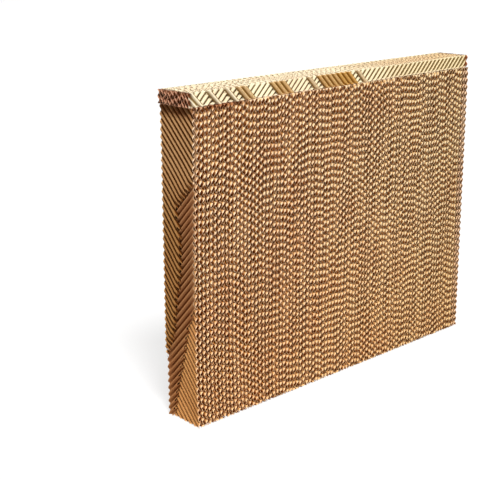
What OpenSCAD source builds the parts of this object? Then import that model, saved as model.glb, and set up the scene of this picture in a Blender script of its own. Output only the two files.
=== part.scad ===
// Evaporative cooling pad: a block of cross-fluted paper sheets that stands on its long edge,
// with a narrow water distribution strip of the same material lying on its top.
// Length runs along X, the air flows along Y, height runs along Z.

/* [Pad] */
// Length of the block, across the stack of sheets
pad_len = 900; // [870:5:930]
// Height of the block
pad_h = 668; // [620:1:680]
// Thickness of the block, the way the air flows
pad_t = 100; // [80:1:110]
// Sheets in the stack, an even number
sheet_count = 174; // [170:2:176]

/* [Flutes] */
// Distance between flute crests, square to the flutes
flute_pitch = 11.2; // [11:0.1:13]
// Angle of the flutes to the level
flute_angle = 45; // [40:1:50]
// Thickness of the stiffened paper
paper_t = 0.4; // [0.3:0.05:0.6]
// Space left between one sheet and the next
glue_gap = 0.2; // [0.15:0.05:0.4]
// How far the flutes of neighbouring sheets are out of step
flute_drift = 3; // [0:0.5:5]

/* [Ends] */
// Loose single sheets seen at each end, besides the two torn ones
end_sheets = 4; // [2:2:6]
// Depth of the outer torn sheet at the front edge
tear_front = 140; // [80:1:200]
// Depth of the outer torn sheet at its step
tear_step = 195; // [180:1:260]
// Distance of that step from the back face
tear_step_in = 38; // [25:1:50]
// Depth at which the outer torn sheet starts to narrow
tear_narrow = 340; // [300:1:400]
// Depth of the outer torn sheet at the back face
tear_back = 528; // [460:1:560]
// Depth of the second torn sheet at the front edge
second_front = 400; // [380:1:450]
// Distance from the back face at which the second torn sheet ends
second_in = 30; // [15:1:45]

/* [Strip] */
// Height of the strip
strip_h = 29; // [25:1:45]
// How far the strip's front and back lie behind the block's faces, at the least
strip_inset = 3; // [2:0.5:5]
// How far the strip reaches past each end of the block
strip_over = 7; // [0:1:12]
// Flutes left of the strip's outermost sheet at its near end
patch_a = 2; // [1:1:3]
// Single flutes left beyond them
lone_flutes = 2; // [1:1:3]
// Distance from one single flute to the next, counted in flutes
lone_step = 3; // [2:1:4]
// Flutes in the second patch, beyond the single ones
patch_b = 2; // [1:1:3]
// Flutes torn off on each side of the third patch
bare_flutes = 4; // [2:1:5]
// Flutes in the third patch
patch_c = 3; // [2:1:4]
// Flutes in the fourth patch, which has a single one on each side
patch_d = 7; // [5:1:8]

/* [Hidden] */
paper = [0.72, 0.52, 0.32];
// Space that one sheet takes up in a stack
sheet_pitch = pad_len / sheet_count;
// Two glued sheets, one rising and one falling, make a layer
layer_pitch = 2 * sheet_pitch;
layer_t = layer_pitch - glue_gap;
// Paper left behind a layer's flutes
layer_web = 2 * paper_t;
// Half the travel of a sheet's middle line
sheet_amp = (sheet_pitch - glue_gap - paper_t) / 2;
torn_sheets = 2;
layer_count = (sheet_count - torn_sheets - 2 * end_sheets) / 2;
layer_groups = 4;
layers_start = -pad_len / 2 + (torn_sheets + end_sheets) * sheet_pitch;
// As many glued pairs of sheets as the thickness of the block takes
strip_sheets = 2 * floor((pad_t - 2 * strip_inset) / layer_pitch);
strip_t = strip_sheets * sheet_pitch;
strip_len = pad_len + 2 * strip_over;
// Loose single sheets at the strip's front and at its back
strip_loose = 3;
strip_layer_count = (strip_sheets - 2 * strip_loose) / 2;
// Flutes of the strip's outermost sheet, counted from the middle of the strip
near_flute = -round(strip_len * sin(flute_angle) / flute_pitch / 2);
first_lone = near_flute + patch_a + lone_step - 1;
first_b = first_lone + (lone_flutes - 1) * lone_step + 2;
first_c = first_b + patch_b + bare_flutes;
first_d = first_c + patch_c + bare_flutes + 2;
// The outermost sheet has a valley in the middle of the strip, where the others have a crest
patch_shift = flute_pitch / 2;
// Cuts run past the faces that they make by this much
past = 2;

// Rising flutes for even sheets and falling ones for odd sheets
function lean(i) = i % 2 == 0 ? 1 : -1;
// Offset of a sheet's flutes, which wanders slowly along the stack
function drift(i) = flute_drift * sin(27 * i);
function waves(w, h) = ceil((h * cos(flute_angle) + w * sin(flute_angle)) / flute_pitch / 2) + 1;
// Length of flute that crosses a panel w wide and h high
function flute_run(w, h) = h * sin(flute_angle) + w * cos(flute_angle) + 2 * past;
// Point i of a zigzag of n flutes each way, between two sides
function zigzag(i, n, crest, valley) = [(i - 2 * n) * flute_pitch / 2, i % 2 == 0 ? crest : valley];

// Section of one sheet, square to its flutes
module sheet_section(n) {
  half = paper_t / 2;
  polygon(concat(
    [for (i = [0 : 4 * n]) zigzag(i, n, half - sheet_amp, half + sheet_amp)],
    [for (i = [4 * n : -1 : 0]) zigzag(i, n, -half - sheet_amp, sheet_amp - half)]));
}

// Section of a layer: flute channels cut into its face, with a plain back
module layer_section(n) {
  reach = n * flute_pitch;
  polygon(concat(
    [for (i = [0 : 4 * n]) zigzag(i, n, -layer_t / 2, layer_t / 2 - layer_web)],
    [[reach, layer_t / 2], [-reach, layer_t / 2]]));
}

// Runs a section along slanted flutes, over a panel w wide in Y and h high, centred on the origin
module run_flutes(w, h, tilt, shift) {
  run = flute_run(w, h);
  rotate([tilt * flute_angle, 0, 0])
    translate([0, -run / 2, shift])
      rotate([0, -90, -90])
        linear_extrude(height = run)
          children();
}

module sheet(w, h, i, shift = 0) {
  intersection() {
    run_flutes(w, h, lean(i), drift(i) + shift)
      sheet_section(waves(w, h));
    cube([sheet_pitch + past, w, h], center = true);
  }
}

module layer(w, h, i) {
  intersection() {
    run_flutes(w, h, lean(i), drift(i))
      layer_section(waves(w, h));
    cube([layer_pitch + past, w, h], center = true);
  }
}

// Extrudes an outline that is drawn as distance from the back face and depth below the top
module end_outline() {
  translate([past, pad_t / 2, pad_h / 2])
    rotate([0, -90, 0])
      linear_extrude(height = 2 * past + sheet_pitch)
        scale([-1, -1])
          children();
}

module place_sheet(i) {
  translate([-pad_len / 2 + (i + 0.5) * sheet_pitch, 0, pad_h / 2])
    children();
}

// Sheet at the end that is torn away at its lower front
module outer_torn_sheet() {
  color(paper)
    place_sheet(0)
      intersection() {
        sheet(pad_t, pad_h, 0);
        translate([sheet_pitch / 2, 0, 0])
          end_outline()
            polygon([[-past, -past], [-past, pad_t + past], [tear_front, pad_t + past],
                     [tear_step, tear_step_in], [tear_narrow, tear_step_in + past], [tear_back, -past]]);
      }
}

// Sheet under it, torn away at its lower front corner
module second_torn_sheet() {
  color(paper)
    place_sheet(1)
      intersection() {
        sheet(pad_t, pad_h, 1);
        translate([sheet_pitch / 2, 0, 0])
          end_outline()
            polygon([[-past, -past], [-past, pad_t + past], [second_front, pad_t + past],
                     [pad_h + past, second_in], [pad_h + past, -past]]);
      }
}

module near_end_sheets() {
  color(paper)
    for (i = [torn_sheets : torn_sheets + end_sheets - 1])
      place_sheet(i)
        sheet(pad_t, pad_h, i);
}

module far_end_sheets() {
  color(paper)
    for (i = [sheet_count - end_sheets : sheet_count - 1])
      place_sheet(i)
        sheet(pad_t, pad_h, i);
}

// One of the groups of layers that make up the inside of the block
module layer_group(g) {
  first = floor(g * layer_count / layer_groups);
  last = floor((g + 1) * layer_count / layer_groups) - 1;
  color(paper)
    for (k = [first : last])
      translate([layers_start + (k + 0.5) * layer_pitch, 0, pad_h / 2])
        layer(pad_t, pad_h, k);
}

module layers_near() {
  layer_group(0);
}

module layers_mid_near() {
  layer_group(1);
}

module layers_mid_far() {
  layer_group(2);
}

module layers_far() {
  layer_group(3);
}

// Lays a panel along the strip: y is its middle, measured from the strip's front
module along_strip(y) {
  translate([0, y - strip_t / 2, pad_h + strip_h / 2])
    rotate([0, 0, 90])
      children();
}

// Room taken by some flutes of the outermost sheet, from valley to valley
module flutes_kept(first, count) {
  rotate([lean(0) * flute_angle, 0, 0])
    translate([0, 0, drift(0) + patch_shift + (first + (count - 1) / 2) * flute_pitch])
      cube([sheet_pitch + past, flute_run(strip_len, strip_h), count * flute_pitch], center = true);
}

// Outermost sheet of the strip, of which only patches and single flutes are left
module strip_patches() {
  color(paper)
    along_strip(sheet_pitch / 2)
      intersection() {
        sheet(strip_len, strip_h, 0, patch_shift);
        union() {
          flutes_kept(near_flute - 2, patch_a + 2);
          for (k = [0 : lone_flutes - 1])
            flutes_kept(first_lone + k * lone_step, 1);
          flutes_kept(first_b, patch_b);
          flutes_kept(first_c, patch_c);
          flutes_kept(first_d - 2, 1);
          flutes_kept(first_d, patch_d);
          flutes_kept(first_d + patch_d + 1, 1);
        }
      }
}

module strip_front_sheets() {
  color(paper)
    for (i = [1 : strip_loose - 1])
      along_strip((i + 0.5) * sheet_pitch)
        sheet(strip_len, strip_h, i);
}

module strip_layers() {
  color(paper)
    for (k = [0 : strip_layer_count - 1])
      along_strip(strip_loose * sheet_pitch + (k + 0.5) * layer_pitch)
        layer(strip_len, strip_h, k);
}

module strip_back_sheets() {
  color(paper)
    for (i = [strip_sheets - strip_loose : strip_sheets - 1])
      along_strip((i + 0.5) * sheet_pitch)
        sheet(strip_len, strip_h, i);
}

outer_torn_sheet();
second_torn_sheet();
near_end_sheets();
layers_near();
layers_mid_near();
layers_mid_far();
layers_far();
far_end_sheets();
strip_patches();
strip_front_sheets();
strip_layers();
strip_back_sheets();
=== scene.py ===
"""Looks of an evaporative cooling pad: each paper sheet of its block and strip as a thin waved sheet."""

import math
from dataclasses import dataclass, replace

import bpy
import numpy as np
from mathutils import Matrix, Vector


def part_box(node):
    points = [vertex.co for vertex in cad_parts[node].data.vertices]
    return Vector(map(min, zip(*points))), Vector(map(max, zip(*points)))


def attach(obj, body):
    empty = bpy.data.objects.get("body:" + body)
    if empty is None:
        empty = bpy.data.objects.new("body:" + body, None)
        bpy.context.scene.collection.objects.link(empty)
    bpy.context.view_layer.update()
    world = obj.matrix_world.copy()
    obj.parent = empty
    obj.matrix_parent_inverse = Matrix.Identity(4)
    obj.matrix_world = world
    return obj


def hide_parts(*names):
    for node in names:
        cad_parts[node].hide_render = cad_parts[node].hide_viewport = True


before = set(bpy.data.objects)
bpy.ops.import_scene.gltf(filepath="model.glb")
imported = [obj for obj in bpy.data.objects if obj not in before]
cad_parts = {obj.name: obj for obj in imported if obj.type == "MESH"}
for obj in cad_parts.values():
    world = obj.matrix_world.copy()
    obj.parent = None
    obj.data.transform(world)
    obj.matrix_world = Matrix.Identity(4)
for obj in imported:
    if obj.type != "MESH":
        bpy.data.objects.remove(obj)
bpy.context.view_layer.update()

# Sizes of the stack, in metres, as the part has them
SHEET_COUNT = 174
STRIP_SHEETS = 18
TORN_SHEETS = 2
END_SHEETS = 4
STRIP_LOOSE = 3
FLUTE_PITCH = 0.0112
FLUTE_ANGLE = math.radians(45)
GLUE_GAP = 0.0002
PAPER = 0.0004

# Places taken from the frame
PAD_X0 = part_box("outer_torn_sheet")[0].x - GLUE_GAP / 2
PAD_X1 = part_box("far_end_sheets")[1].x + GLUE_GAP / 2
PAD_Y0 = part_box("layers_near")[0].y
PAD_Y1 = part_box("layers_near")[1].y
PAD_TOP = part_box("layers_near")[1].z
STRIP_X0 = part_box("strip_back_sheets")[0].x
STRIP_X1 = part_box("strip_back_sheets")[1].x
STRIP_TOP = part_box("strip_back_sheets")[1].z
STRIP_Y1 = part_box("strip_back_sheets")[1].y + GLUE_GAP / 2
PITCH = (PAD_X1 - PAD_X0) / SHEET_COUNT
STRIP_Y0 = STRIP_Y1 - STRIP_SHEETS * PITCH
PAD_T = PAD_Y1 - PAD_Y0
STRIP_LEN = STRIP_X1 - STRIP_X0
STRIP_H = STRIP_TOP - PAD_TOP
PAD_LOW = (PAD_X0, PAD_Y0, 0.0)
PAD_HIGH = (PAD_X1, PAD_Y1, PAD_TOP)
STRIP_LOW = (STRIP_X0, STRIP_Y0, PAD_TOP)
STRIP_HIGH = (STRIP_X1, STRIP_Y1, STRIP_TOP)
# Half the travel of a sheet's middle line
SWING = (PITCH - GLUE_GAP - PAPER) / 2

# Fineness of the waved meshes: steps across a flute, and spans along it where a sheet is cut
INNER_STEPS = 8
STRIP_STEPS = 10
SHOWN_STEPS = 14
TEAR_SPANS = 18
PATCH_SPANS = 8
SHARP_ANGLE = math.radians(58)

# Unevenness of the sawn edges, and the most of a flute's run that it takes at each end
FRAY = 0.0004
FRAY_SHARE = 0.4
# How far flutes stray from even spacing, and how fast that comes and goes, in radians for each metre
STRAY = 0.0022
STRAY_RATES = (18, 30)
# How far a sheet is out of step with the last one, as a share of a flute
ROW_STEP = 0.30
# Range of random phases, about a full turn
PHASES = (0, 6.3)
SEED = 20

# Share of the flutes' height cut away where a sheet is gone, on the line of a tear, and at the least
CUT_THROUGH = 1.1
CUT_AT_TEAR = 0.58
CUT_LEAST = 0.05
# Width over which a torn sheet thins out
TEAR_FADE = 0.008
# Sheets at the near end that lean out of it
LEANING_SHEETS = 80


def step_curve(stops):
    """A value that runs in straight lines between (place, value) stops."""
    places = [p for p, _ in stops]
    values = [v for _, v in stops]
    return lambda x: np.interp(x, places, values)


# Width that is left of the two torn sheets, from the back face, by depth below the top
OUTER_LEFT = step_curve([
    (0.100, 0.140), (0.140, 0.100), (0.204, 0.042), (0.253, 0.055), (0.323, 0.057), (0.368, 0.048),
    (0.390, 0.041), (0.421, 0.038), (0.457, 0.032), (0.487, 0.022), (0.509, 0.011), (0.529, 0.000),
    (0.560, -0.020)])
SECOND_LEFT = step_curve([
    (0.360, 0.140), (0.400, 0.100), (0.421, 0.092), (0.448, 0.076), (0.514, 0.057), (0.554, 0.046),
    (0.592, 0.034), (0.655, 0.018), (0.740, 0.000)])
# How far the front edge of the near end leans out, by depth below the top
LEAN_OUT = step_curve([
    (0.000, 0.0005), (0.107, 0.002), (0.160, 0.0065), (0.220, 0.0095), (0.278, 0.011), (0.405, 0.0117),
    (0.489, 0.013), (0.560, 0.0125), (0.615, 0.011), (0.668, 0.008)])
# How brown the outer torn sheet is, by depth below the top
OUTER_FADE = step_curve([(0.0, 0.15), (0.12, 0.15), (0.26, 1.0), (0.53, 1.0)])
# How brown the strip's sheets are behind the outermost one, by distance from its near end
STRIP_FADE = step_curve([(0.0, 0.05), (0.45, 0.15), (0.65, 0.65), (0.914, 1.0)])
# How far the painted valley shade widens into dark lines where these sheets are brown
STRIP_LINES = 0.90


@dataclass
class Patch:
    """Flutes left of the strip's outer sheet: the first one, counted from the strip's middle, and how many.

    cut is the share of their height that is worn off their crests, and wear says how brown they are.
    """

    first: int
    count: int
    cut: float
    wear: float


STRIP_PATCHES = (
    Patch(first=-31, count=4, cut=0.05, wear=0.05),
    Patch(first=-25, count=1, cut=0.06, wear=0.10),
    Patch(first=-22, count=1, cut=0.06, wear=0.10),
    Patch(first=-20, count=2, cut=0.12, wear=0.60),
    Patch(first=-14, count=3, cut=0.10, wear=0.70),
    Patch(first=-7, count=1, cut=0.12, wear=0.45),
    Patch(first=-5, count=4, cut=0.10, wear=0.75),
    Patch(first=-1, count=3, cut=0.10, wear=1.00),
    Patch(first=3, count=1, cut=0.12, wear=0.45),
)
# The outer sheet has a valley in the middle of the strip
PATCH_SHIFT = FLUTE_PITCH / 2


class Stack:
    """Collects the meshes of several sheets into one piece."""

    def __init__(self, name):
        self.name = name
        self.points = []
        self.quads = []
        self.tones = []
        self.crests = []
        self.count = 0

    def add(self, points, quads, tone, crests):
        self.points.append(points)
        self.quads.append(quads + self.count)
        self.tones.append(np.broadcast_to(tone, len(points)))
        self.crests.append(crests)
        self.count += len(points)

    def build(self, material, slot, *nodes):
        points = np.concatenate(self.points)
        quads = np.concatenate(self.quads)
        mesh = bpy.data.meshes.new(self.name)
        mesh.from_pydata(points.tolist(), [], quads.tolist())
        for key, values in (("tone", self.tones), ("crest", self.crests)):
            layer = mesh.attributes.new(key, "FLOAT", "POINT")
            layer.data.foreach_set("value", np.concatenate(values).astype(np.float32))
        mesh.polygons.foreach_set("use_smooth", np.ones(len(quads), dtype=bool))
        mesh.set_sharp_from_angle(angle=SHARP_ANGLE)
        mesh.materials.append(material)
        mesh.validate()
        piece = bpy.data.objects.new(self.name, mesh)
        bpy.context.scene.collection.objects.link(piece)
        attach(piece, "root")
        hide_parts(*nodes)


def flute_runs(width, height, lean, steps, rng):
    """Where each line along the flutes starts and ends on a panel centred on u = 0 and standing on z = 0."""
    c, s = math.cos(FLUTE_ANGLE), math.sin(FLUTE_ANGLE)
    u_corner = np.array([-width / 2, width / 2, -width / 2, width / 2])
    z_corner = np.array([0, 0, height, height])
    across = z_corner * c - lean * u_corner * s
    # The first and the last line keep off the corners, where they would have no length
    inset = FLUTE_PITCH / steps / 4
    low, high = across.min() + inset, across.max() - inset
    lines = np.linspace(low, high, int((high - low) / FLUTE_PITCH * steps) + 1)
    by_u = (np.array([[-width / 2], [width / 2]]) + lean * lines * s) / c
    by_z = (np.array([[0.0], [height]]) - lines * c) / (lean * s)
    start = np.maximum(by_u.min(axis=0), by_z.min(axis=0))
    end = np.minimum(by_u.max(axis=0), by_z.max(axis=0))
    room = np.maximum(end - start, 0) * FRAY_SHARE
    start = start + np.minimum(rng.random(len(lines)) * FRAY, room)
    end = end - np.minimum(rng.random(len(lines)) * FRAY, room)
    return lines, start, end


def cut_down(faces, out, limit):
    """Lowers what stands past the limit on the outward side, and says which points are cut right through."""
    over = [out * face > limit for face in faces]
    lowered = [np.where(past, out * limit, face) for past, face in zip(over, faces)]
    return lowered, over[0] & over[1]


def sheet_quads(shape, keep):
    """Quads of a sheet's two faces and of its rims. keep says which cells of the sheet are left."""
    index = np.arange(shape[0] * shape[1]).reshape(shape)
    far = index + index.size
    a, b, d, e = index[:-1, :-1], index[1:, :-1], index[1:, 1:], index[:-1, 1:]
    quads = [np.stack([a, b, d, e], axis=-1)[keep], np.stack([a, e, d, b], axis=-1)[keep] + index.size]
    for column in (0, -1):
        near, back = index[:, column], far[:, column]
        rim = np.stack([near[:-1], back[:-1], back[1:], near[1:]], axis=-1)
        quads.append(turned(rim, column != 0)[keep[:, column]])
    for line in (0, -1):
        near, back = index[line], far[line]
        rim = np.stack([near[:-1], near[1:], back[1:], back[:-1]], axis=-1)
        quads.append(turned(rim, line != 0)[keep[line]])
    return np.concatenate(quads)


def turned(quads, flip):
    return quads[:, ::-1] if flip else quads


def waved_sheet(width, height, lean, phase, steps, rng, spans=1, out=0, cut=None, stray=STRAY):
    """Points (u, depth, z), quads and crest heights of one sheet.

    Depth is measured square to the sheet. out is the side of it that faces outward, and cut(u, z) says how
    far below the outward crests the sheet is cut away, as a share of the flutes' height.
    """
    c, s = math.cos(FLUTE_ANGLE), math.sin(FLUTE_ANGLE)
    lines, start, end = flute_runs(width, height, lean, steps, rng)
    along = start[:, None] + (end - start)[:, None] * np.linspace(0, 1, spans + 1)
    u = -lean * lines[:, None] * s + along * c
    z = lines[:, None] * c + along * lean * s
    wander = stray * np.sin(lines * rng.uniform(*STRAY_RATES) + rng.uniform(*PHASES))
    wave = np.sin(2 * math.pi * (lines + wander) / FLUTE_PITCH + phase)
    middle = np.repeat((SWING * wave)[:, None], spans + 1, axis=1)
    faces = [middle - PAPER / 2, middle + PAPER / 2]
    keep = np.ones((len(lines) - 1, spans), dtype=bool)
    if cut is not None:
        top = SWING + PAPER / 2
        faces, gone = cut_down(faces, out, top - 2 * top * cut(u, z))
        keep = ~(gone[:-1, :-1] & gone[1:, :-1] & gone[:-1, 1:] & gone[1:, 1:])
    points = np.concatenate([np.stack([u, face, z], axis=-1).reshape(-1, 3) for face in faces])
    quads = sheet_quads(middle.shape, keep)
    crests = np.concatenate([middle.ravel()] * 2) / SWING * (out if out else 1)
    used = np.unique(quads)
    place = np.full(len(points), -1)
    place[used] = np.arange(len(used))
    return points[used], place[quads], crests[used]


def row_drift(seed, count):
    """Phases of like-leaning sheets: each one is glued some way out of step with the last."""
    steps = np.random.default_rng(seed).normal(0, ROW_STEP, count)
    return 2 * math.pi * np.cumsum(steps)


def patch_values(u, z, key, torn):
    """A value of the patch that each point of the strip's outer sheet is on, or torn between the patches."""
    across = (z - STRIP_H / 2) * math.cos(FLUTE_ANGLE) + u * math.sin(FLUTE_ANGLE)
    flute = np.round((across - PATCH_SHIFT) / FLUTE_PITCH)
    values = np.full(u.shape, torn)
    for patch in STRIP_PATCHES:
        values[(flute >= patch.first) & (flute < patch.first + patch.count)] = getattr(patch, key)
    return values


def outer_cut(u, z):
    return patch_values(u, z, "cut", CUT_THROUGH)


def outer_wear(u, z):
    return patch_values(u, z, "wear", 0.0)


def strip_wear(u, z):
    return STRIP_FADE(u + STRIP_LEN / 2)


def tear_cut(width):
    """Cut share of a torn sheet: least within the width that is left of it, and right through it beyond."""
    def cut(u, z):
        beyond = (PAD_T / 2 - u) - width(PAD_TOP - z)
        return np.clip(CUT_AT_TEAR + beyond / TEAR_FADE, CUT_LEAST, CUT_THROUGH)
    return cut


def put_in_block(points, i):
    """Stands sheet i of the block in its place, with its width along Y.

    The front of the sheets at the near end leans out.
    """
    y = (PAD_Y0 + PAD_Y1) / 2 + points[:, 0]
    lean = LEAN_OUT(PAD_TOP - points[:, 2]) * (PAD_Y1 - y) / PAD_T
    x = PAD_X0 + (i + 0.5) * PITCH + points[:, 1] - lean * max(0.0, 1 - i / LEANING_SHEETS)
    return np.stack([x, y, points[:, 2]], axis=-1)


def put_in_strip(points, i):
    """Lays sheet i of the strip in its place. Its width runs along X."""
    x = (STRIP_X0 + STRIP_X1) / 2 + points[:, 0]
    y = STRIP_Y0 + (i + 0.5) * PITCH + points[:, 1]
    return np.stack([x, y, PAD_TOP + points[:, 2]], axis=-1)


def block_sheet(stack, i, phase, steps, rng, wear=None, **more):
    lean = 1 if i % 2 == 0 else -1
    points, quads, crests = waved_sheet(PAD_T, PAD_TOP, lean, phase, steps, rng, **more)
    tone = rng.random()
    if wear is not None:
        tone = wear(PAD_TOP - points[:, 2])
    stack.add(put_in_block(points, i), turned(quads, lean < 0), tone, crests)


def strip_sheet(stack, i, phase, steps, rng, wear, lines=STRIP_LINES, **more):
    lean = -1 if i % 2 == 0 else 1
    points, quads, crests = waved_sheet(STRIP_LEN, STRIP_H, lean, phase, steps, rng, **more)
    tone = wear(points[:, 0], points[:, 2])
    stack.add(put_in_strip(points, i), turned(quads, lean > 0), tone, crests - lines * tone)


class Nodes:
    """Short forms for wiring a node tree, which starts empty."""

    def __init__(self, tree):
        self.tree = tree
        tree.nodes.clear()

    def add(self, kind, inputs=None, **settings):
        node = self.tree.nodes.new(kind)
        for key, value in settings.items():
            setattr(node, key, value)
        for key, value in (inputs or {}).items():
            self.set(node.inputs[key], value)
        return node

    def set(self, socket, value):
        if isinstance(value, bpy.types.NodeSocket):
            self.tree.links.new(value, socket)
        else:
            socket.default_value = value

    def math(self, operation, a, b=0.0):
        return self.add("ShaderNodeMath", {0: a, 1: b}, operation=operation).outputs[0]

    def noise(self, where, scale, detail):
        inputs = {"Vector": where, "Scale": scale, "Detail": detail}
        return self.add("ShaderNodeTexNoise", inputs).outputs["Fac"]

    def ramp(self, value, low, high, to_low=0.0, to_high=1.0):
        inputs = {"Value": value, "From Min": low, "From Max": high, "To Min": to_low, "To Max": to_high}
        return self.add("ShaderNodeMapRange", inputs, interpolation_type="SMOOTHSTEP").outputs["Result"]

    def mix(self, share, a, b, blend="MIX"):
        node = self.add("ShaderNodeMix", data_type="RGBA", blend_type=blend)
        # In the colour form, inputs 0, 6 and 7 are the share and the two colours, and output 2 is the result
        for k, value in ((0, share), (6, a), (7, b)):
            self.set(node.inputs[k], (*value, 1) if isinstance(value, tuple) else value)
        return node.outputs[2]

    def tint(self, share, colour, by):
        return self.mix(share, colour, by, "MULTIPLY")


def new_material(name):
    material = bpy.data.materials.new(name)
    material.use_nodes = True
    return material


@dataclass
class Look:
    """Colours of one kind of sheet: at its sawn edge, just inside it and deep inside.

    deep is a painted shade deep in the flutes. Valleys take the colour valley, a painted shade, by up to
    valley_share, below the crest height valley_top; on the third sheet it is a painted light, paler
    than face. This sets in over the depth valley_fade. worn is multiplied in where the sheet is brown, by
    up to worn_share, and far towards the far end. rubbed is how pale the painted highlight on the crests
    is, shade how dark the painted shade on the undersides is, and joint how far down from the strip its
    painted shadow reaches.
    """

    edge: tuple
    face: tuple
    deep: tuple
    valley: tuple = (0.13, 0.045, 0.008)
    valley_share: float = 0.0
    valley_top: float = 0.3
    valley_fade: float = 0.004
    worn: tuple = (0.78, 0.64, 0.50)
    worn_share: float = 0.35
    crest_highlight: float = 0.0
    shade: float = 0.8
    shadow_reach: float = 0.0
    far: tuple = None


CUT_EDGE = (0.94, 0.72, 0.50)
CREAM = (0.94, 0.85, 0.63)
OUTER_CREAM = (0.89, 0.81, 0.58)
SECOND_CREAM = (0.82, 0.735, 0.51)

# In these looks deep, valley, shade, rubbed and joint set painted shade, painted highlights and a painted
# shadow
INSIDE = Look(
    edge=CUT_EDGE, face=(0.96, 0.66, 0.34), deep=(0.48, 0.16, 0.008), worn_share=0.25, shade=0.93,
    shadow_reach=0.011, far=(0.85, 0.91, 0.86))
SHOWN_END = Look(
    edge=CUT_EDGE, face=(0.41, 0.235, 0.105), deep=(0.39, 0.22, 0.095), valley=(0.13, 0.033, 0.001),
    valley_share=0.95, shade=0.5, shadow_reach=0.030)
OUTER_END = replace(SHOWN_END, worn=(0.80, 0.73, 0.57), worn_share=1.0)
SECOND_END = replace(
    SHOWN_END, face=(0.56, 0.30, 0.12), deep=(0.53, 0.28, 0.13), valley_top=0.1, valley_fade=0.022)
# The third sheet's valleys are a painted light, paler than its face, that evens out the shading of its
# flutes
THIRD_END = Look(
    edge=CUT_EDGE, face=(0.55, 0.31, 0.134), deep=(0.525, 0.295, 0.122), valley=(0.70, 0.405, 0.17),
    valley_share=0.70, shade=0.1)
# The strip's outer sheet: painted shade in its valleys and a painted highlight on its crests
STRIP_OUTER = Look(
    edge=CREAM, face=OUTER_CREAM, deep=OUTER_CREAM, valley=(0.23, 0.145, 0.035), valley_share=0.95,
    valley_top=0.40, worn=(0.82, 0.52, 0.20), worn_share=1.0, crest_highlight=0.7, shade=0.1)
STRIP_SECOND = Look(
    edge=CREAM, face=SECOND_CREAM, deep=SECOND_CREAM, valley=(0.15, 0.095, 0.022), valley_share=0.95,
    valley_top=-0.40, worn=(0.92, 0.85, 0.74), worn_share=1.0, shade=0.3)
STRIP_INSIDE = Look(
    edge=CREAM, face=(0.86, 0.73, 0.48), deep=(0.40, 0.22, 0.09), worn=(0.84, 0.70, 0.55), worn_share=1.0,
    shade=0.25)

# Depths below a sawn face at which the pale edge ends, and over which the painted shade deep in the flutes
# sets in
EDGE_DEPTHS = (0.0003, 0.0026)
DEEP_SHADE_DEPTHS = (0.001, 0.006)
# How far specks shift the end of the pale edge
RAGGED = 0.0015
# Crest height where the painted valley shade is full, and heights over which crests get a painted highlight
VALLEY_FLOOR = -0.9
HIGHLIGHT_HEIGHTS = (0.55, 0.95)
# The strip's ends: their colour, and the painted shade in the gaps behind them, by distance from the end
STRIP_ENDS = (0.60, 0.32, 0.20)
STRIP_END_DEPTHS = (0.0006, 0.0025)
END_GAP_SHADE = (0.14, 0.037, 0.012)
END_GAP_SHADE_DEPTHS = (0.004, 0.014)
END_SHARE = 0.95
# Painted shade on the undersides, by the upward part of the normal
UNDERSIDE_SHADE = (0.28, 0.12, 0.022)
UNDERSIDE_TURN = (-0.35, 0.35)
# Blotches and specks: colour, fineness and detail of the noise, its range, and strength
BLOTCH = (0.86, 0.62, 0.52)
BLOTCH_SCALE = 9.0
BLOTCH_DETAIL = 4.0
BLOTCH_RANGE = (0.40, 0.80)
BLOTCH_SHARE = 0.35
SPECK = (0.60, 0.48, 0.36)
SPECK_SCALE = 420.0
SPECK_DETAIL = 3.0
SPECK_RANGE = (0.30, 0.70)
SPECK_SHARE = 0.20
# Painted shadow on the block under the strip: colour, range of the noise, strength, and reach from the near
# end
STRIP_SHADOW = (0.36, 0.17, 0.09)
STRIP_SHADOW_RANGE = (0.36, 0.54)
STRIP_SHADOW_SHARE = 0.85
STRIP_SHADOW_RUN = 0.19
# The paper is browner towards its foot, up to this height
FOOT_TINT = (1.0, 0.90, 0.78)
FOOT_RISE = 0.5
# Fibres, drawn out along the sheets, and the finish of the paper
FIBRE_STRETCH = (1.0, 0.25, 0.25)
FIBRE_SCALE = 1600.0
FIBRE_DETAIL = 4.0
FIBRE_STRENGTH = 0.25
FIBRE_HEIGHT = 0.0002
ROUGHNESS = (0.68, 0.86)
SPECULAR = 0.02


class PaperNodes(Nodes):
    """Wiring of a paper material, with what its colours depend on."""

    def __init__(self, tree, low, high, sawn_axes):
        super().__init__(tree)
        self.low, self.high = low, high
        self.where = self.add("ShaderNodeTexCoord").outputs["Object"]
        self.xyz = self.add("ShaderNodeSeparateXYZ", {0: self.where}).outputs
        self.depth = self.depth_below(sawn_axes)
        self.tone = self.add("ShaderNodeAttribute", attribute_name="tone").outputs["Fac"]
        self.crest = self.add("ShaderNodeAttribute", attribute_name="crest").outputs["Fac"]
        self.blotch = self.noise(self.where, BLOTCH_SCALE, BLOTCH_DETAIL)
        self.speck = self.noise(self.where, SPECK_SCALE, SPECK_DETAIL)

    def depth_below(self, axes):
        """Distance below the nearest face across the axes given."""
        depth = None
        for axis in axes:
            k = "XYZ".index(axis)
            middle = (self.low[k] + self.high[k]) / 2
            off = self.math("ABSOLUTE", self.math("SUBTRACT", self.xyz[axis], middle))
            inside = self.math("SUBTRACT", (self.high[k] - self.low[k]) / 2, off)
            depth = inside if depth is None else self.math("MINIMUM", depth, inside)
        return depth


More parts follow.
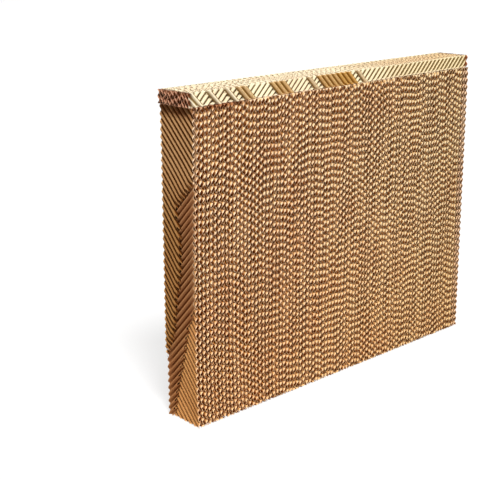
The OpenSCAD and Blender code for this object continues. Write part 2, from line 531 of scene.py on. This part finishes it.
def sawn_colour(n, look):
    """Pale fibres at the sawn faces, a painted shade deeper in, and the valley colour, a painted shade
    (a painted light on the third sheet).
    """
    inner = n.mix(n.ramp(n.depth, *DEEP_SHADE_DEPTHS), look.face, look.deep)
    ragged = n.math("ADD", n.depth, n.math("MULTIPLY", n.math("SUBTRACT", n.speck, 0.5), RAGGED))
    colour = n.mix(n.ramp(ragged, *EDGE_DEPTHS), look.edge, inner)
    # Valleys take their colour: a painted shade, and on the third sheet a painted light
    valley_shade = n.ramp(n.crest, VALLEY_FLOOR, look.valley_top, look.valley_share, 0.0)
    valley_shade = n.math("MULTIPLY", valley_shade, n.ramp(n.depth, 0, look.valley_fade))
    return n.mix(valley_shade, colour, look.valley)


def end_colour(n, colour, ends):
    """Ends of the strip, and the painted shade in the gaps between its sheets behind them."""
    inward = n.depth_below("X")
    colour = n.mix(n.ramp(inward, *END_GAP_SHADE_DEPTHS, END_SHARE, 0.0), colour, END_GAP_SHADE)
    return n.mix(n.ramp(inward, *STRIP_END_DEPTHS, END_SHARE, 0.0), colour, ends)


def painted_light_and_wear_colour(n, colour, look):
    """Painted shade on the undersides, blotches, a painted highlight on the crests, and wear."""
    normal = n.add("ShaderNodeNewGeometry").outputs["Normal"]
    upward = n.add("ShaderNodeSeparateXYZ", {0: normal}).outputs["Z"]
    # Undersides take a painted shade
    colour = n.tint(n.ramp(upward, *UNDERSIDE_TURN, look.shade, 0.0), colour, UNDERSIDE_SHADE)
    colour = n.tint(n.ramp(n.blotch, *BLOTCH_RANGE, 0.0, BLOTCH_SHARE), colour, BLOTCH)
    # Crests take a painted highlight in the edge colour
    if look.crest_highlight:
        colour = n.mix(n.ramp(n.crest, *HIGHLIGHT_HEIGHTS, 0.0, look.crest_highlight), colour, look.edge)
    return n.tint(n.ramp(n.tone, 0.0, 1.0, 0.0, look.worn_share), colour, look.worn)


def strip_shadow_colour(n, colour, reach):
    """Painted shadow that reaches down from the strip, near the near end."""
    below = n.math("SUBTRACT", n.high[2], n.xyz["Z"])
    from_end = n.math("SUBTRACT", n.xyz["X"], n.low[0])
    painted_shadow = n.ramp(below, reach / 3, reach, STRIP_SHADOW_SHARE, 0.0)
    painted_shadow = n.math("MULTIPLY", painted_shadow, n.ramp(n.blotch, *STRIP_SHADOW_RANGE))
    painted_shadow = n.math("MULTIPLY", painted_shadow, n.ramp(from_end, STRIP_SHADOW_RUN / 2, STRIP_SHADOW_RUN, 1.0, 0.0))
    return n.tint(painted_shadow, colour, STRIP_SHADOW)


def kraft_paper(name, look, low, high, ends=None):
    """Stiffened kraft paper of the sheets between two corners.

    The sawn faces are the ones across Z and across Y, or across Z alone where ends gives X ends a colour of
    their own.
    """
    material = new_material(name)
    n = PaperNodes(material.node_tree, low, high, "Z" if ends else "YZ")
    colour = sawn_colour(n, look)
    if ends:
        colour = end_colour(n, colour, ends)
    colour = painted_light_and_wear_colour(n, colour, look)
    # The block takes a painted shadow under the strip
    if look.shadow_reach:
        colour = strip_shadow_colour(n, colour, look.shadow_reach)
    colour = n.tint(n.ramp(n.xyz["Z"], 0.0, FOOT_RISE, 1.0, 0.0), colour, FOOT_TINT)
    if look.far:
        colour = n.tint(n.ramp(n.xyz["X"], low[0], high[0]), colour, look.far)
    colour = n.tint(n.ramp(n.speck, *SPECK_RANGE, SPECK_SHARE, 0.0), colour, SPECK)
    stretch = n.add("ShaderNodeMapping", {"Vector": n.where, "Scale": FIBRE_STRETCH}).outputs[0]
    fibre = n.noise(stretch, FIBRE_SCALE, FIBRE_DETAIL)
    bump = n.add("ShaderNodeBump", {"Strength": FIBRE_STRENGTH, "Distance": FIBRE_HEIGHT, "Height": fibre})
    shader = n.add("ShaderNodeBsdfPrincipled", {
        "Base Color": colour, "Roughness": n.ramp(n.speck, *SPECK_RANGE, *ROUGHNESS),
        "Normal": bump.outputs[0], "Specular IOR Level": SPECULAR})
    n.add("ShaderNodeOutputMaterial", {"Surface": shader.outputs[0]})
    return material


def dress_block(inside, shown, outer_paper, second_paper, third_paper):
    """Draws the block's sheets, from the near end to the far end."""
    rng = np.random.default_rng(SEED)
    drift = (row_drift(SEED + 1, SHEET_COUNT // 2), row_drift(SEED + 2, SHEET_COUNT // 2))

    def dress(name, node, material, members, steps, **more):
        stack = Stack(name)
        for i in members:
            block_sheet(stack, i, drift[i % 2][i // 2], steps, rng, **more)
        stack.build(material, "pad_paper", node)

    first = TORN_SHEETS + END_SHEETS
    last = SHEET_COUNT - END_SHEETS
    layers = (last - first) // 2
    dress("outer_torn_sheet_paper", "outer_torn_sheet", outer_paper, [0], SHOWN_STEPS,
          wear=OUTER_FADE, spans=TEAR_SPANS, out=-1, cut=tear_cut(OUTER_LEFT))
    dress("second_torn_sheet_paper", "second_torn_sheet", second_paper, [1], SHOWN_STEPS,
          spans=TEAR_SPANS, out=-1, cut=tear_cut(SECOND_LEFT))
    dress("third_sheet_paper", "near_end_sheets", third_paper, [TORN_SHEETS], SHOWN_STEPS, out=-1)
    dress("near_end_sheets_paper", "near_end_sheets", inside, range(TORN_SHEETS + 1, first), INNER_STEPS)
    groups = ("layers_near", "layers_mid_near", "layers_mid_far", "layers_far")
    for g, node in enumerate(groups):
        start = first + 2 * (g * layers // len(groups))
        stop = first + 2 * ((g + 1) * layers // len(groups))
        dress(node + "_sheets", node, inside, range(start, stop), INNER_STEPS)
    dress("far_end_sheets_paper", "far_end_sheets", shown, range(last, SHEET_COUNT), SHOWN_STEPS, out=1)


def dress_strip(outer_paper, second_paper, paper):
    """Draws the strip's sheets, from its front to its back."""
    rng = np.random.default_rng(SEED + 3)
    outer = Stack("strip_outer_sheet")
    middle = STRIP_H / 2 * math.cos(FLUTE_ANGLE) + PATCH_SHIFT
    phase = -math.pi / 2 - 2 * math.pi * middle / FLUTE_PITCH
    strip_sheet(outer, 0, phase, SHOWN_STEPS, rng, outer_wear, lines=0, spans=PATCH_SPANS, out=-1,
                cut=outer_cut, stray=0)
    outer.build(outer_paper, "strip_paper", "strip_patches")
    parts = (
        ("strip_front_sheets", second_paper, range(1, STRIP_LOOSE), -1),
        ("strip_layers", paper, range(STRIP_LOOSE, STRIP_SHEETS - STRIP_LOOSE), -1),
        ("strip_back_sheets", second_paper, range(STRIP_SHEETS - STRIP_LOOSE, STRIP_SHEETS), 1),
    )
    for node, material, members, out in parts:
        stack = Stack(node + "_paper")
        for i in members:
            strip_sheet(stack, i, rng.uniform(*PHASES), STRIP_STEPS, rng, strip_wear, out=out)
        stack.build(material, "strip_paper", node)


WHITE = (1.0, 1.0, 1.0, 1.0)
# Pale floor: half its side, its greys and their grain, its finish, and how white the camera sees it
FLOOR_HALF = 12.0
FLOOR_GREYS = ((0.62, 0.62, 0.62), (0.66, 0.66, 0.66))
FLOOR_GRAIN_SCALE = 3.0
FLOOR_GRAIN_RANGE = (0.3, 0.7)
FLOOR_ROUGHNESS = 0.9
FLOOR_WHITE_SHARE = 0.60
FLOOR_WHITE_STRENGTH = 1.2
# Warm light from all around
ROOM_COLOUR = (1.0, 0.93, 0.84, 1.0)
ROOM_STRENGTH = 0.24
# Key light: where it comes from, how strong it is and how wide it looks
KEY_FROM = (-0.30, -0.55, 0.80)
KEY_STRENGTH = 4.1
KEY_SPREAD = math.radians(14)
# Low fill light for the back and the far end
FILL_FROM = (0.55, 0.80, 0.22)
FILL_STRENGTH = 1.5
FILL_SPREAD = math.radians(60)


def seen_directly(n):
    """1 for the camera's rays and for mirror or glass rays, and 0 for the rest."""
    path = n.add("ShaderNodeLightPath").outputs
    seen = n.math("MAXIMUM", path["Is Camera Ray"], path["Is Glossy Ray"])
    return n.math("MAXIMUM", seen, path["Is Transmission Ray"])


def floor_material():
    """Grey to the light, so that it keeps the shadow, and nearly white to the camera."""
    material = new_material("floor_white")
    n = Nodes(material.node_tree)
    grain = n.add("ShaderNodeTexNoise", {"Scale": FLOOR_GRAIN_SCALE}).outputs["Fac"]
    colour = n.mix(n.ramp(grain, *FLOOR_GRAIN_RANGE), *FLOOR_GREYS)
    grey = n.add("ShaderNodeBsdfPrincipled", {"Base Color": colour, "Roughness": FLOOR_ROUGHNESS})
    white = n.add("ShaderNodeEmission", {"Color": WHITE, "Strength": FLOOR_WHITE_STRENGTH})
    share = n.math("MULTIPLY", seen_directly(n), FLOOR_WHITE_SHARE)
    shown = n.add("ShaderNodeMixShader", {0: share, 1: grey.outputs[0], 2: white.outputs[0]})
    n.add("ShaderNodeOutputMaterial", {"Surface": shown.outputs[0]})
    return material


def make_floor():
    mesh = bpy.data.meshes.new("floor")
    corners = [(x * FLOOR_HALF, y * FLOOR_HALF, 0) for x, y in ((-1, -1), (1, -1), (1, 1), (-1, 1))]
    mesh.from_pydata(corners, [], [(0, 1, 2, 3)])
    mesh.materials.append(floor_material())
    floor = bpy.data.objects.new("floor", mesh)
    bpy.context.scene.collection.objects.link(floor)


def make_world():
    """White to the camera, and a warm room to the rest."""
    world = bpy.data.worlds.new("studio")
    world.use_nodes = True
    bpy.context.scene.world = world
    n = Nodes(world.node_tree)
    room = n.add("ShaderNodeBackground", {"Color": ROOM_COLOUR, "Strength": ROOM_STRENGTH})
    white = n.add("ShaderNodeBackground", {"Color": WHITE, "Strength": 1.0})
    shown = n.add("ShaderNodeMixShader", {0: seen_directly(n), 1: room.outputs[0], 2: white.outputs[0]})
    n.add("ShaderNodeOutputWorld", {"Surface": shown.outputs[0]})


def make_lamp(name, place, strength, spread):
    lamp = bpy.data.lights.new(name, "SUN")
    lamp.energy = strength
    lamp.angle = spread
    holder = bpy.data.objects.new(name, lamp)
    holder.rotation_euler = (-Vector(place)).to_track_quat("-Z", "Y").to_euler()
    bpy.context.scene.collection.objects.link(holder)


# Camera as solved from the pad's edges in the photo, placed from the near lower corner of its front face
CAMERA_FROM_CORNER = Vector((-1.4058, -1.5992, 1.0026))
CAMERA_AHEAD = Vector((0.66545, 0.69599, -0.26978))
CAMERA_ROLL = math.radians(-0.3)
CAMERA_FOCUS_PX = 1119.5
CAMERA_REACH = 100
IMAGE_PX = 480
SENSOR_MM = 36.0


def make_camera():
    data = bpy.data.cameras.new("camera")
    data.sensor_width = SENSOR_MM
    data.lens = CAMERA_FOCUS_PX / IMAGE_PX * SENSOR_MM
    data.clip_end = CAMERA_REACH
    camera = bpy.data.objects.new("camera", data)
    camera.location = Vector((PAD_X0, PAD_Y0, 0)) + CAMERA_FROM_CORNER
    camera.rotation_euler = CAMERA_AHEAD.to_track_quat("-Z", "Y").to_euler()
    camera.rotation_euler.rotate_axis("Z", CAMERA_ROLL)
    bpy.context.scene.collection.objects.link(camera)
    bpy.context.scene.camera = camera


dress_block(
    kraft_paper("kraft_inside", INSIDE, PAD_LOW, PAD_HIGH),
    kraft_paper("kraft_end", SHOWN_END, PAD_LOW, PAD_HIGH),
    kraft_paper("kraft_outer", OUTER_END, PAD_LOW, PAD_HIGH),
    kraft_paper("kraft_second", SECOND_END, PAD_LOW, PAD_HIGH),
    kraft_paper("kraft_third", THIRD_END, PAD_LOW, PAD_HIGH))
dress_strip(
    kraft_paper("kraft_strip_outer", STRIP_OUTER, STRIP_LOW, STRIP_HIGH, STRIP_ENDS),
    kraft_paper("kraft_strip_second", STRIP_SECOND, STRIP_LOW, STRIP_HIGH, STRIP_ENDS),
    kraft_paper("kraft_strip_inside", STRIP_INSIDE, STRIP_LOW, STRIP_HIGH, STRIP_ENDS))
make_floor()
make_world()
make_lamp("key", KEY_FROM, KEY_STRENGTH, KEY_SPREAD)
make_lamp("fill", FILL_FROM, FILL_STRENGTH, FILL_SPREAD)
make_camera()
bpy.context.scene.view_settings.view_transform = "Standard"
